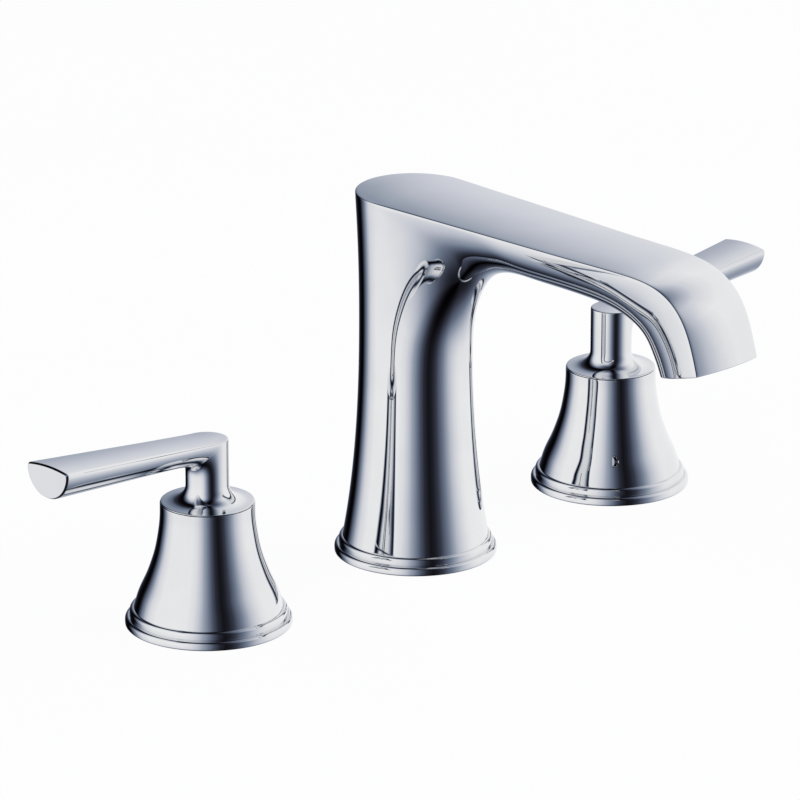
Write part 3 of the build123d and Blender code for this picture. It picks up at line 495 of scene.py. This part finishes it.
# Base rings
# A turned brass ring in two steps under each unit, with a fine groove between the steps.
# It is polished, chromed and held down on its foam gasket.
def turned(name, centre, profile, count=96):
    """A turned piece: a circle is extruded and scaled from point to point of its profile."""
    bpy.ops.object.select_all(action="DESELECT")
    radius, up = profile[0]
    bpy.ops.mesh.primitive_circle_add(
        vertices=count, radius=radius * mm, location=(centre * mm, 0, up * mm)
    )
    piece = bpy.context.object
    piece.name = name
    bpy.ops.object.transform_apply(location=True)
    bpy.ops.object.mode_set(mode="EDIT")
    bpy.ops.mesh.select_all(action="SELECT")
    pivot = (centre * mm, 0, 0)
    for next_radius, next_up in profile[1:]:
        bpy.ops.mesh.extrude_region_move(TRANSFORM_OT_translate={"value": (0, 0, (next_up - up) * mm)})
        share = next_radius / radius
        bpy.ops.transform.resize(value=(share, share, 1), center_override=pivot)
        radius, up = next_radius, next_up
    return piece


def copy_of(piece, name, move=(0, 0, 0), spin=0.0):
    """A copy with its own mesh, spun about the upright axis of the whole faucet and moved."""
    bpy.ops.object.select_all(action="DESELECT")
    bpy.context.view_layer.objects.active = piece
    piece.select_set(True)
    bpy.ops.object.duplicate()
    copy = bpy.context.object
    copy.name = name
    copy.location = Vector(move) * mm
    copy.rotation_euler = (0, 0, spin)
    bpy.ops.object.transform_apply(location=True, rotation=True)
    return copy


ring_profile = (
    (22.4, 1.6), (26.5, 1.6), (26.5, 0.3), (26.5, 0.0), (28.2, 0.0), (28.6, 0.15), (28.7, 0.5), (28.7, 1.2),
    (28.7, 2.0), (28.45, 2.6), (27.9, 2.95), (27.5, 3.0), (27.0, 3.0), (26.92, 3.08), (27.0, 3.18),
    (27.08, 3.3), (27.1, 3.6), (27.1, 4.4), (27.1, 5.0), (26.85, 5.6), (26.35, 5.93), (25.7, 6.0),
    (24.0, 6.0), (22.4, 6.0), (22.4, 4.0), (22.4, 1.6),
)
handle_offset = 101.6
left_ring = turned("left_stepped_ring", -handle_offset, ring_profile)
finish_casting(left_ring, 2)
spout_ring = copy_of(left_ring, "spout_stepped_ring", move=(handle_offset, 0, 0))
right_ring = copy_of(left_ring, "right_stepped_ring", spin=pi)
for name, ring in (("left", left_ring), ("spout", spout_ring), ("right", right_ring)):
    fit(ring, chrome, "spout_and_valves", f"{name}_base_ring")

# Bells
# A flared brass cover over each valve, spun thin, polished and chromed. A nut inside holds it
# down by a web, so nothing shows outside.
bell_outside = (
    (25.65, seam_height), (25.6, 6.1), (25.3, 7.3), (24.9, 8.55), (24.3, 10.6), (23.3, 13.05),
    (22.2, 15.3), (21.2, 17.5), (20.35, 19.75), (19.6, 21.9), (18.85, 24.15), (18.25, 26.4),
    (17.75, 28.6), (17.35, 30.85), (17.0, 33.0), (16.68, 35.25), (16.45, 37.5), (16.33, 39.6),
    (16.3, 41.7),
)
bell_profile = bell_outside + (
    (16.3, 43.4), (16.28, 43.7), (16.15, 43.8), (14.6, 43.8), (14.3, 43.6), (14.3, 42.7), (14.3, 30.4),
    (14.3, 30.0), (8.4, 30.0), (8.1, 30.0), (8.1, 29.6), (8.1, 27.3), (8.1, 27.0), (8.5, 27.0),
    (15.4, 27.0), (16.0, 26.4), (17.6, 21.6), (20.2, 15.1), (22.3, 10.5), (23.0, 8.0), (23.3, 6.4),
    (23.4, 6.0), (23.8, seam_height), (25.4, seam_height), (25.65, seam_height),
)
left_bell = turned("left_flared_bell", -handle_offset, bell_profile)
finish_casting(left_bell, 2)
right_bell = copy_of(left_bell, "right_flared_bell", spin=pi)
for side, bell in (("left", left_bell), ("right", right_bell)):
    fit(bell, chrome, "spout_and_valves", f"{side}_bell")

# Handles
# Flange, post and lever in one brass casting, polished and chromed. A set screw at the back
# holds it on the stem's adapter. The left one is made, and the right one is its mirror image.
lever_bow = 2 * 49.0  # twice the radius of the lever's crowned top
lever_reach, lever_rise = 73.5, 8.1
post_radius, post_height = 7.5, 66.9


def lever_edge(out, half_width):
    """The height of the lever's top: its middle line, less the crown's fall to the side."""
    return post_height + lever_rise * out / lever_reach - half_width**2 / lever_bow


post_profile = (
    (5.5, 57.0), (5.5, 36.6), (5.8, 36.2), (7.2, 36.2), (7.5, 36.6), (7.5, 43.4), (7.8, 43.9),
    (15.8, 43.9), (16.12, 43.91), (16.2, 43.98), (16.2, 44.14), (16.12, 44.25), (15.8, 44.32),
    (14.8, 44.43), (13.6, 44.6), (12.6, 44.79), (11.8, 45.01), (11.1, 45.28), (10.4, 45.63),
    (9.8, 46.01), (9.2, 46.48), (8.7, 46.97), (8.3, 47.48), (7.95, 48.08), (7.68, 48.75),
    (7.54, 49.5), (7.5, 50.6),
)
rings = [round_ring(radius, up) for radius, up in post_profile]
lever_elbow = (
    (55.0, 7.5, 54.3),
    (58.0, 7.6, 55.8),
    (61.0, 7.95, 57.0),
    (63.8, 8.55, 57.85),
    (65.5, 9.15, 58.25),
    (lever_edge(0, post_radius), 9.4, 58.4),
)
for up, belly_out, belly_up in lever_elbow:
    back = round_ring(post_radius, up)[: ring_points // 2 + 1]
    rings.append(cast_ring((0, up), (belly_out, belly_up), post_radius, (circle, circle), back))
lever_rows = (
    (0, 9.4, 58.4, 7.5),
    (4, 11.4, 58.95, 7.56),
    (9, 14.4, 59.45, 7.7),
    (16.2, 18.8, 59.9, 7.9),
    (30.9, 31.4, 60.75, 8.35),
    (45.6, 45.7, 61.6, 8.9),
    (60.3, 60.3, 62.5, 9.48),
    (73.5, 73.5, 63.3, 10.0),
)
lever_stops = (1, 3.2, 6.5, 10.5, 15, 20.5, 27, 35, 44, 53, 62, 69, 72.3, 72.65)
straight_from = 5
rim_inset = 0.9
first_middle = rim_inset - post_radius
stops = [row[0] for row in lever_rows]
rows = [row[1:] for row in lever_rows]
for number, stop in enumerate(lever_stops):
    belly_out, belly_up, half_width = fair(stops, rows, [stop])[0]
    even = min(1.0, number / straight_from)
    middle = stop
    if number < straight_from:
        middle = first_middle + (lever_stops[straight_from] - first_middle) * even
    back = []
    for i in range(ring_points // 2 + 1):
        a = 2 * pi * i / ring_points
        side = half_width * ((1 - even) * cos(a) + even * (1 - 4 * i / ring_points))
        out = stop + (middle - stop) * sin(a)
        if out < 0:
            rise = (post_radius**2 - side**2 - out**2) / lever_bow
            back.append((side, out, lever_edge(0, post_radius) + rise))
        else:
            back.append((side, out, lever_edge(out, 0) - side**2 / lever_bow))
    edge = (stop, lever_edge(stop, half_width))
    rings.append(cast_ring(edge, (belly_out, belly_up), half_width, (circle, circle), back))

# A small chamfer runs round the lever's end face
end_outline = rings[-1]
end_middle = (max(up for _, _, up in end_outline) + min(up for _, _, up in end_outline)) / 2
end_half_width, end_half_height = 10, 6.3
for stop, inset in ((72.75, 0.07), (73.4, 0.45), (lever_reach, 0.52)):
    across, upright = 1 - inset / end_half_width, 1 - inset / end_half_height
    rings.append(
        [(side * across, stop, end_middle + (up - end_middle) * upright) for side, _, up in end_outline]
    )
left_handle = draw_out(
    "left_lever_handle", rings, lambda p: Vector((-handle_offset - p[1], p[0], p[2])) * mm
)
bpy.ops.mesh.inset(thickness=0.15 * mm)


def cut_with(piece, tool, operation):
    """Cut a piece with a tool, which is then taken away, and leave the piece selected."""
    cut = piece.modifiers.new("cut", "BOOLEAN")
    cut.operation, cut.object, cut.solver = operation, tool, "EXACT"
    bpy.context.view_layer.objects.active = piece
    bpy.ops.object.modifier_apply(modifier=cut.name)
    bpy.ops.object.select_all(action="DESELECT")
    bpy.data.objects.remove(tool)
    piece.select_set(True)


finish_casting(left_handle, 3)

# The set screw's hole is drilled through the back of the post, and its rim stays sharp
set_screw_height, hole_radius = 54.5, 2.05
bpy.ops.object.select_all(action="DESELECT")
bpy.ops.mesh.primitive_cylinder_add(
    vertices=48,
    radius=hole_radius * mm,
    depth=4 * mm,
    location=(-handle_offset * mm, 7.8 * mm, set_screw_height * mm),
    rotation=(pi / 2, 0, 0),
)
drill = bpy.context.object
bpy.ops.object.transform_apply(location=True, rotation=True)
cut_with(left_handle, drill, "DIFFERENCE")
bpy.ops.object.shade_smooth()
bpy.ops.object.mode_set(mode="EDIT")
bpy.ops.mesh.select_mode(type="EDGE")
bpy.ops.mesh.select_all(action="DESELECT")
mesh = bmesh.from_edit_mesh(left_handle.data)
hole = Vector((-handle_offset, 0, set_screw_height)) * mm
for edge in mesh.edges:
    reach = max((Vector((v.co.x, 0, v.co.z)) - hole).length for v in edge.verts)
    behind = min(v.co.y for v in edge.verts) > 0
    sharp = edge.calc_face_angle(0) > radians(40)
    edge.select_set(behind and sharp and reach < (hole_radius + 0.15) * mm)
bmesh.update_edit_mesh(left_handle.data)
bpy.ops.mesh.mark_sharp()
bpy.ops.object.mode_set(mode="OBJECT")
right_handle = copy_of(left_handle, "right_lever_handle")
bpy.ops.object.mode_set(mode="EDIT")
bpy.ops.mesh.select_all(action="SELECT")
bpy.ops.transform.resize(value=(-1, 1, 1), center_override=(0, 0, 0))
bpy.ops.mesh.normals_make_consistent(inside=False)
bpy.ops.object.mode_set(mode="OBJECT")
for side, handle in (("left", left_handle), ("right", right_handle)):
    fit(handle, chrome, f"{side}_lever", f"{side}_handle")

# Brass fittings
# What carries the faucet is turned and milled from yellow brass and left bare: shanks, nuts, tee
# and valve bodies. The cutting tool leaves fine rings round it, drawn here four times too coarse.
brass, tree, place = start_finish("turned_brass")
feed_rings = 20 * 0.4  # the wave texture has a band every twentieth of its scale, here 0.4 mm
stain = add_node(
    tree, "ShaderNodeTexNoise", {"Vector": place, "Scale": 1 / (14 * mm), "Detail": 5.0, "Roughness": 0.6}
)
feed = add_node(
    tree,
    "ShaderNodeTexWave",
    {"Vector": place, "Scale": 1 / (feed_rings * mm), "Distortion": 0.6, "Detail": 1.0},
    wave_type="BANDS",
    bands_direction="Z",
)
end_finish(
    tree,
    colours(tree, stain.outputs["Fac"], (0.3, "#C2A05F"), (0.5, "#D2B573"), (0.7, "#DCC287")),
    values(tree, stain.outputs["Fac"], 0.34, 0.2),
    Metallic=1.0,
    Normal=relief(tree, feed.outputs["Fac"], 0.25, 0.02),
)


def finish_machined(piece):
    """Close a machined piece, turn its faces outward and keep its edges crisp."""
    bpy.ops.mesh.select_all(action="SELECT")
    bpy.ops.mesh.remove_doubles(threshold=merge_distance)
    bpy.ops.mesh.normals_make_consistent(inside=False)
    bpy.ops.object.mode_set(mode="OBJECT")
    bpy.ops.object.shade_smooth_by_angle(angle=radians(30))


def threaded(name, centre, crest, low, high, pitch=1.814):
    """A pipe thread: a ridge is screwed up its axis, cut level at both ends and lined inside."""
    root = crest - 0.6 * pitch
    flank, land = 0.42 * pitch, 0.16 * pitch
    wall = 1.2
    bpy.ops.object.select_all(action="DESELECT")
    bpy.ops.mesh.primitive_plane_add(size=mm, location=(0, 0, 0))
    ridge = bpy.context.object
    ridge.name = name
    bpy.ops.object.mode_set(mode="EDIT")
    bpy.ops.mesh.select_mode(type="VERT")
    bpy.ops.mesh.select_all(action="SELECT")
    bpy.ops.mesh.merge(type="CENTER")
    start = low - 2 * pitch
    bpy.ops.transform.translate(value=(root * mm, 0, start * mm))
    for out, up in ((crest - root, flank), (0, land), (root - crest, flank)):
        bpy.ops.mesh.extrude_vertices_move(TRANSFORM_OT_translate={"value": (out * mm, 0, up * mm)})
    bpy.ops.object.mode_set(mode="OBJECT")
    screw = ridge.modifiers.new("thread", "SCREW")
    screw.steps = screw.render_steps = 48
    screw.screw_offset = pitch * mm
    screw.iterations = int((high - low) / pitch) + 4
    bpy.ops.object.modifier_apply(modifier=screw.name)
    bpy.ops.object.mode_set(mode="EDIT")
    bpy.ops.mesh.select_all(action="SELECT")
    bpy.ops.mesh.remove_doubles(threshold=merge_distance)
    for level, up in ((low, 1), (high, -1)):
        bpy.ops.mesh.select_all(action="SELECT")
        bpy.ops.mesh.bisect(
            plane_co=(0, 0, level * mm), plane_no=(0, 0, up), clear_inner=True, threshold=0.001 * mm
        )
    bpy.ops.mesh.select_mode(type="EDGE")
    bpy.ops.mesh.select_all(action="DESELECT")
    bpy.ops.mesh.select_non_manifold()
    bpy.ops.mesh.extrude_edges_move()
    inward = (root - wall) / crest
    bpy.ops.transform.resize(value=(inward, inward, 1), center_override=(0, 0, 0))
    bpy.ops.mesh.bridge_edge_loops()
    bpy.ops.mesh.select_all(action="SELECT")
    bpy.ops.transform.translate(value=(centre * mm, 0, 0))
    finish_machined(ridge)
    return ridge


def hexagon(name, centre, across_flats, bore, low, high, chamfer=1.4):
    """A hexagon with a bore; a turned blank with chamfered ends trims its corners."""
    corner = across_flats / 3**0.5
    end_radius, blank_radius = across_flats / 2 - 0.3, corner + 0.4
    blank_profile = (
        (bore, low), (end_radius, low), (blank_radius, low + chamfer), (blank_radius, high - chamfer),
        (end_radius, high), (bore, high), (bore, low),
    )
    blank = turned(f"{name}_blank", centre, blank_profile)
    finish_machined(blank)
    bpy.ops.object.select_all(action="DESELECT")
    bpy.ops.mesh.primitive_cylinder_add(
        vertices=6,
        radius=corner * mm,
        depth=(high - low) * mm,
        location=(centre * mm, 0, (low + high) / 2 * mm),
        rotation=(0, 0, pi / 6),
    )
    piece = bpy.context.object
    piece.name = name
    bpy.ops.object.transform_apply(location=True, rotation=True)
    cut_with(piece, blank, "INTERSECT")
    bpy.ops.object.mode_set(mode="EDIT")
    finish_machined(piece)
    return piece


# Spout shank
# A length of brass pipe, threaded from end to end, that leads the water up and holds the spout
# on the deck. It is screwed into the column's adapter and, below, into the tee.
shank_profile = (
    (6.5, 15.4), (7.0, 16.0), (9.6, 16.0), (10.35, 15.3), (10.35, 4.0), (9.5, 3.2), (9.5, -76.0),
    (9.3, -77.2), (8.6, -78.0), (7.0, -78.0), (6.5, -77.4), (6.5, 15.4),
)
shank = turned("spout_shank_pipe", 0, shank_profile)
finish_machined(shank)
fit(shank, brass, "spout_and_valves", "spout_shank")
fit(threaded("spout_shank_thread", 0, 10.45, -76.8, 3.4), brass, "spout_and_valves")

# Tee
# A round brass body, turned and bored, screwed on the shank's lower end. Its two ports take the
# hoses from the hot and the cold valve.
tee_profile = (
    (10.6, -68.0), (13.2, -68.0), (14.0, -68.9), (14.0, -93.6), (13.1, -95.0), (5.4, -95.0),
    (5.0, -94.4), (5.0, -78.0), (10.6, -78.0), (10.6, -68.0),
)
tee = turned("spout_tee_body", 0, tee_profile)
finish_machined(tee)
fit(tee, brass, "spout_and_valves", "spout_tee")

# Ports
# Hose ends of the tee and of both valve bodies, turned from brass and pressed in: a plain neck, a
# stop collar and a threaded end with a bored nose. One is made, and the other three are copies.
port_profile = (
    (4.5, 12.0), (7.0, 12.0), (7.0, 19.0), (7.9, 19.2), (8.3, 19.7), (8.3, 20.6), (7.3, 21.6), (7.3, 35.0),
    (6.7, 36.0), (5.0, 36.0), (4.5, 35.5), (4.5, 12.0),
)
port_neck = turned("left_valve_port_neck", 0, port_profile, 64)
finish_machined(port_neck)
port_thread = threaded("left_valve_port_thread", 0, 8.3, 22.0, 35.4, 1.337)
valve_port_height, tee_port_height, tee_port_inset = -70.0, -83.1, 2.0
for kind, port in (("neck", port_neck), ("thread", port_thread)):
    bpy.ops.object.select_all(action="DESELECT")
    bpy.context.view_layer.objects.active = port
    port.select_set(True)
    port.rotation_euler = (0, pi / 2, 0)
    port.location = (-handle_offset * mm, 0, valve_port_height * mm)
    bpy.ops.object.transform_apply(location=True, rotation=True)
    to_tee = (handle_offset - tee_port_inset, 0, tee_port_height - valve_port_height)
    tee_port = copy_of(port, f"tee_right_port_{kind}", move=to_tee)
    fit(copy_of(tee_port, f"tee_left_port_{kind}", spin=pi), brass, "spout_and_valves")
    fit(tee_port, brass, "spout_and_valves")
    fit(copy_of(port, f"right_valve_port_{kind}", spin=pi), brass, "spout_and_valves")
    fit(port, brass, "spout_and_valves")

# Valve bodies and their nuts
# Turned and milled brass: a threaded shank that holds the cartridge, a hexagon block for the side
# port and a threaded inlet for the supply hose. The right valve is the left one turned about.
valve_profile = (
    (4.5, -81.0), (4.5, -4.0), (10.6, -4.0), (10.6, 17.4), (11.0, 18.0), (13.4, 18.0), (14.0, 17.4),
    (14.0, 9.0), (13.0, 8.2), (13.0, -58.6), (12.4, -59.0), (12.0, -81.0), (4.5, -81.0),
)
inlet_profile = (
    (6.5, -99.4), (6.5, -82.5), (6.5, -80.0), (9.5, -80.0), (9.5, -97.4), (9.2, -99.0), (8.4, -100.0),
    (6.9, -100.0), (6.5, -99.4),
)
barrel = turned("valve_barrel", -handle_offset, valve_profile)
finish_machined(barrel)
inlet = turned("inlet_pipe", -handle_offset, inlet_profile)
finish_machined(inlet)
lock_nut = hexagon("lower_lock_nut_milled", -handle_offset, 40.0, 14.0, -45.5, -34.5)
deck_nut = hexagon("upper_lock_nut_milled", -handle_offset, 37.0, 14.0, 0.0, 6.0)
valve_pieces = (
    (barrel, "valve_body"),
    (threaded("valve_shank_thread", -handle_offset, 14.0, -57.6, 8.4), None),
    (hexagon("valve_block", -handle_offset, 30.0, 4.5, -82.0, -58.0), None),
    (inlet, None),
    (threaded("inlet_thread", -handle_offset, 10.45, -98.2, -83.5), None),
    (lock_nut, "lower_lock_nut"),
    (deck_nut, "upper_lock_nut"),
)
for piece, node in valve_pieces:
    name = piece.name
    piece.name = f"left_{name}"
    copy = copy_of(piece, f"right_{name}", spin=pi)
    for side, made in (("left", piece), ("right", copy)):
        fit(made, brass, "spout_and_valves", f"{side}_{node}" if node else None)

# The spout's lock nut is a smaller hexagon and is made by itself
spout_nut = hexagon("spout_lock_nut_milled", 0, 34.0, 10.45, -45.5, -34.5)
fit(spout_nut, brass, "spout_and_valves", "spout_lock_nut")


def refinish(finish, *names):
    """Give CAD nodes their finish: those that keep their own shape, and those that are replaced."""
    for name in names:
        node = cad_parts[name]
        node.data.materials.clear()
        node.data.materials.append(finish)
        node.visible_glossy = finish is chrome


sides = ("left", "right")
refinish(brass, "spout_adapter", "spout_shank", "spout_tee", "spout_lock_nut")
for part in ("bell_nut", "cartridge_housing", "lower_lock_nut", "stem", "upper_lock_nut", "valve_body"):
    refinish(brass, *(f"{side}_{part}" for side in sides))
refinish(chrome, "spout_body", "spout_base_ring", "aerator_housing")
for part in ("base_ring", "bell", "handle"):
    refinish(chrome, *(f"{side}_{part}" for side in sides))

# Washers, clips and screws
# Stainless steel: the washers are stamped from brushed sheet, and the screws and clips are made
# from drawn wire. The brushing shows as fine straight lines.
steel, tree, place = start_finish("brushed_stainless_steel")
stretched = add_node(tree, "ShaderNodeMapping", {"Vector": place, "Scale": (0.03, 1.0, 1.0)})
brushing = add_node(
    tree, "ShaderNodeTexNoise", {"Vector": stretched.outputs[0], "Scale": 1 / (0.35 * mm), "Detail": 3.0}
)
end_finish(
    tree,
    colours(tree, brushing.outputs["Fac"], (0.3, "#ADAFB2"), (0.7, "#C6C8CA")),
    values(tree, brushing.outputs["Fac"], 0.24, 0.38),
    Metallic=1.0,
    Normal=relief(tree, brushing.outputs["Fac"], 0.3, 0.01),
)
refinish(steel, "spout_adapter_screws", "spout_steel_washer", "aerator_screen")
for part in ("steel_washer", "stem_clip", "set_screw"):
    refinish(steel, *(f"{side}_{part}" for side in sides))

# Waterway tube
# Soft copper tube, drawn, bent cold and soldered in. Handling leaves darker, browner patches and
# shallow dents.
copper, tree, place = start_finish("drawn_copper")
patches = add_node(
    tree, "ShaderNodeTexNoise", {"Vector": place, "Scale": 1 / (8 * mm), "Detail": 5.0, "Roughness": 0.65}
)
end_finish(
    tree,
    colours(tree, patches.outputs["Fac"], (0.3, "#A4644A"), (0.55, "#C98365"), (0.75, "#DA9C7E")),
    values(tree, patches.outputs["Fac"], 0.42, 0.22),
    Metallic=1.0,
    Normal=relief(tree, patches.outputs["Fac"], 0.2, 0.05),
)
refinish(copper, "waterway_tube")

# Seals
# Black moulded nitrile rubber: washers, O-rings and cartridge seals. It is nearly matt, with a
# fine grain from its mould and a little pale bloom.
rubber, tree, place = start_finish("moulded_nitrile_rubber")
bloom = add_node(tree, "ShaderNodeTexNoise", {"Vector": place, "Scale": 1 / (6 * mm), "Detail": 4.0})
grit = add_node(tree, "ShaderNodeTexNoise", {"Vector": place, "Scale": 1 / (0.5 * mm), "Detail": 2.0})
end_finish(
    tree,
    colours(tree, bloom.outputs["Fac"], (0.35, "#1B1C1D"), (0.7, "#2B2C2D")),
    values(tree, bloom.outputs["Fac"], 0.5, 0.68),
    Normal=relief(tree, grit.outputs["Fac"], 0.4, 0.05),
    IOR=1.52,
)
refinish(rubber, "spout_rubber_washer", "aerator_washer")
for part in ("cartridge_seal", "rubber_washer", "stem_o_rings"):
    refinish(rubber, *(f"{side}_{part}" for side in sides))

# Gaskets
# Closed-cell foam, cut from sheet, under each base ring. Its cut face shows cells of about half a
# millimetre.
foam, tree, place = start_finish("closed_cell_foam")
cells = add_node(tree, "ShaderNodeTexVoronoi", {"Vector": place, "Scale": 1 / (0.55 * mm)})
end_finish(
    tree,
    colours(tree, cells.outputs["Distance"], (0.0, "#1D1E20"), (0.5, "#34363A")),
    0.85,
    Normal=relief(tree, cells.outputs["Distance"], 0.6, 0.1),
)
refinish(foam, "spout_gasket", *(f"{side}_gasket" for side in sides))

# Ceramic discs
# Alumina, pressed, fired and lapped flat: off-white, nearly mirror-smooth, with faint darker
# specks left by the firing.
ceramic, tree, place = start_finish("lapped_alumina")
specks = add_node(tree, "ShaderNodeTexNoise", {"Vector": place, "Scale": 1 / (0.7 * mm), "Detail": 3.0})
end_finish(
    tree,
    colours(tree, specks.outputs["Fac"], (0.25, "#CFCABB"), (0.4, "#E6E2D6"), (0.8, "#EDEADF")),
    values(tree, specks.outputs["Fac"], 0.18, 0.12),
    IOR=1.76,
)
for part in ("fixed_disc", "turning_disc"):
    refinish(ceramic, *(f"{side}_{part}" for side in sides))

# Plastic inner parts
# Natural acetal, injection moulded: the handles' splined adapters and the aerator's core. It is
# milky, half glossy, with slight flow marks.
acetal, tree, place = start_finish("moulded_acetal")
flow = add_node(
    tree, "ShaderNodeTexNoise", {"Vector": place, "Scale": 1 / (5 * mm), "Detail": 2.0, "Distortion": 1.0}
)
end_finish(
    tree,
    colours(tree, flow.outputs["Fac"], (0.3, "#CFD2CE"), (0.7, "#DCDEDA")),
    values(tree, flow.outputs["Fac"], 0.3, 0.4),
    Normal=relief(tree, flow.outputs["Fac"], 0.15, 0.05),
    IOR=1.48,
)
refinish(acetal, "aerator_core", *(f"{side}_stem_adapter" for side in sides))
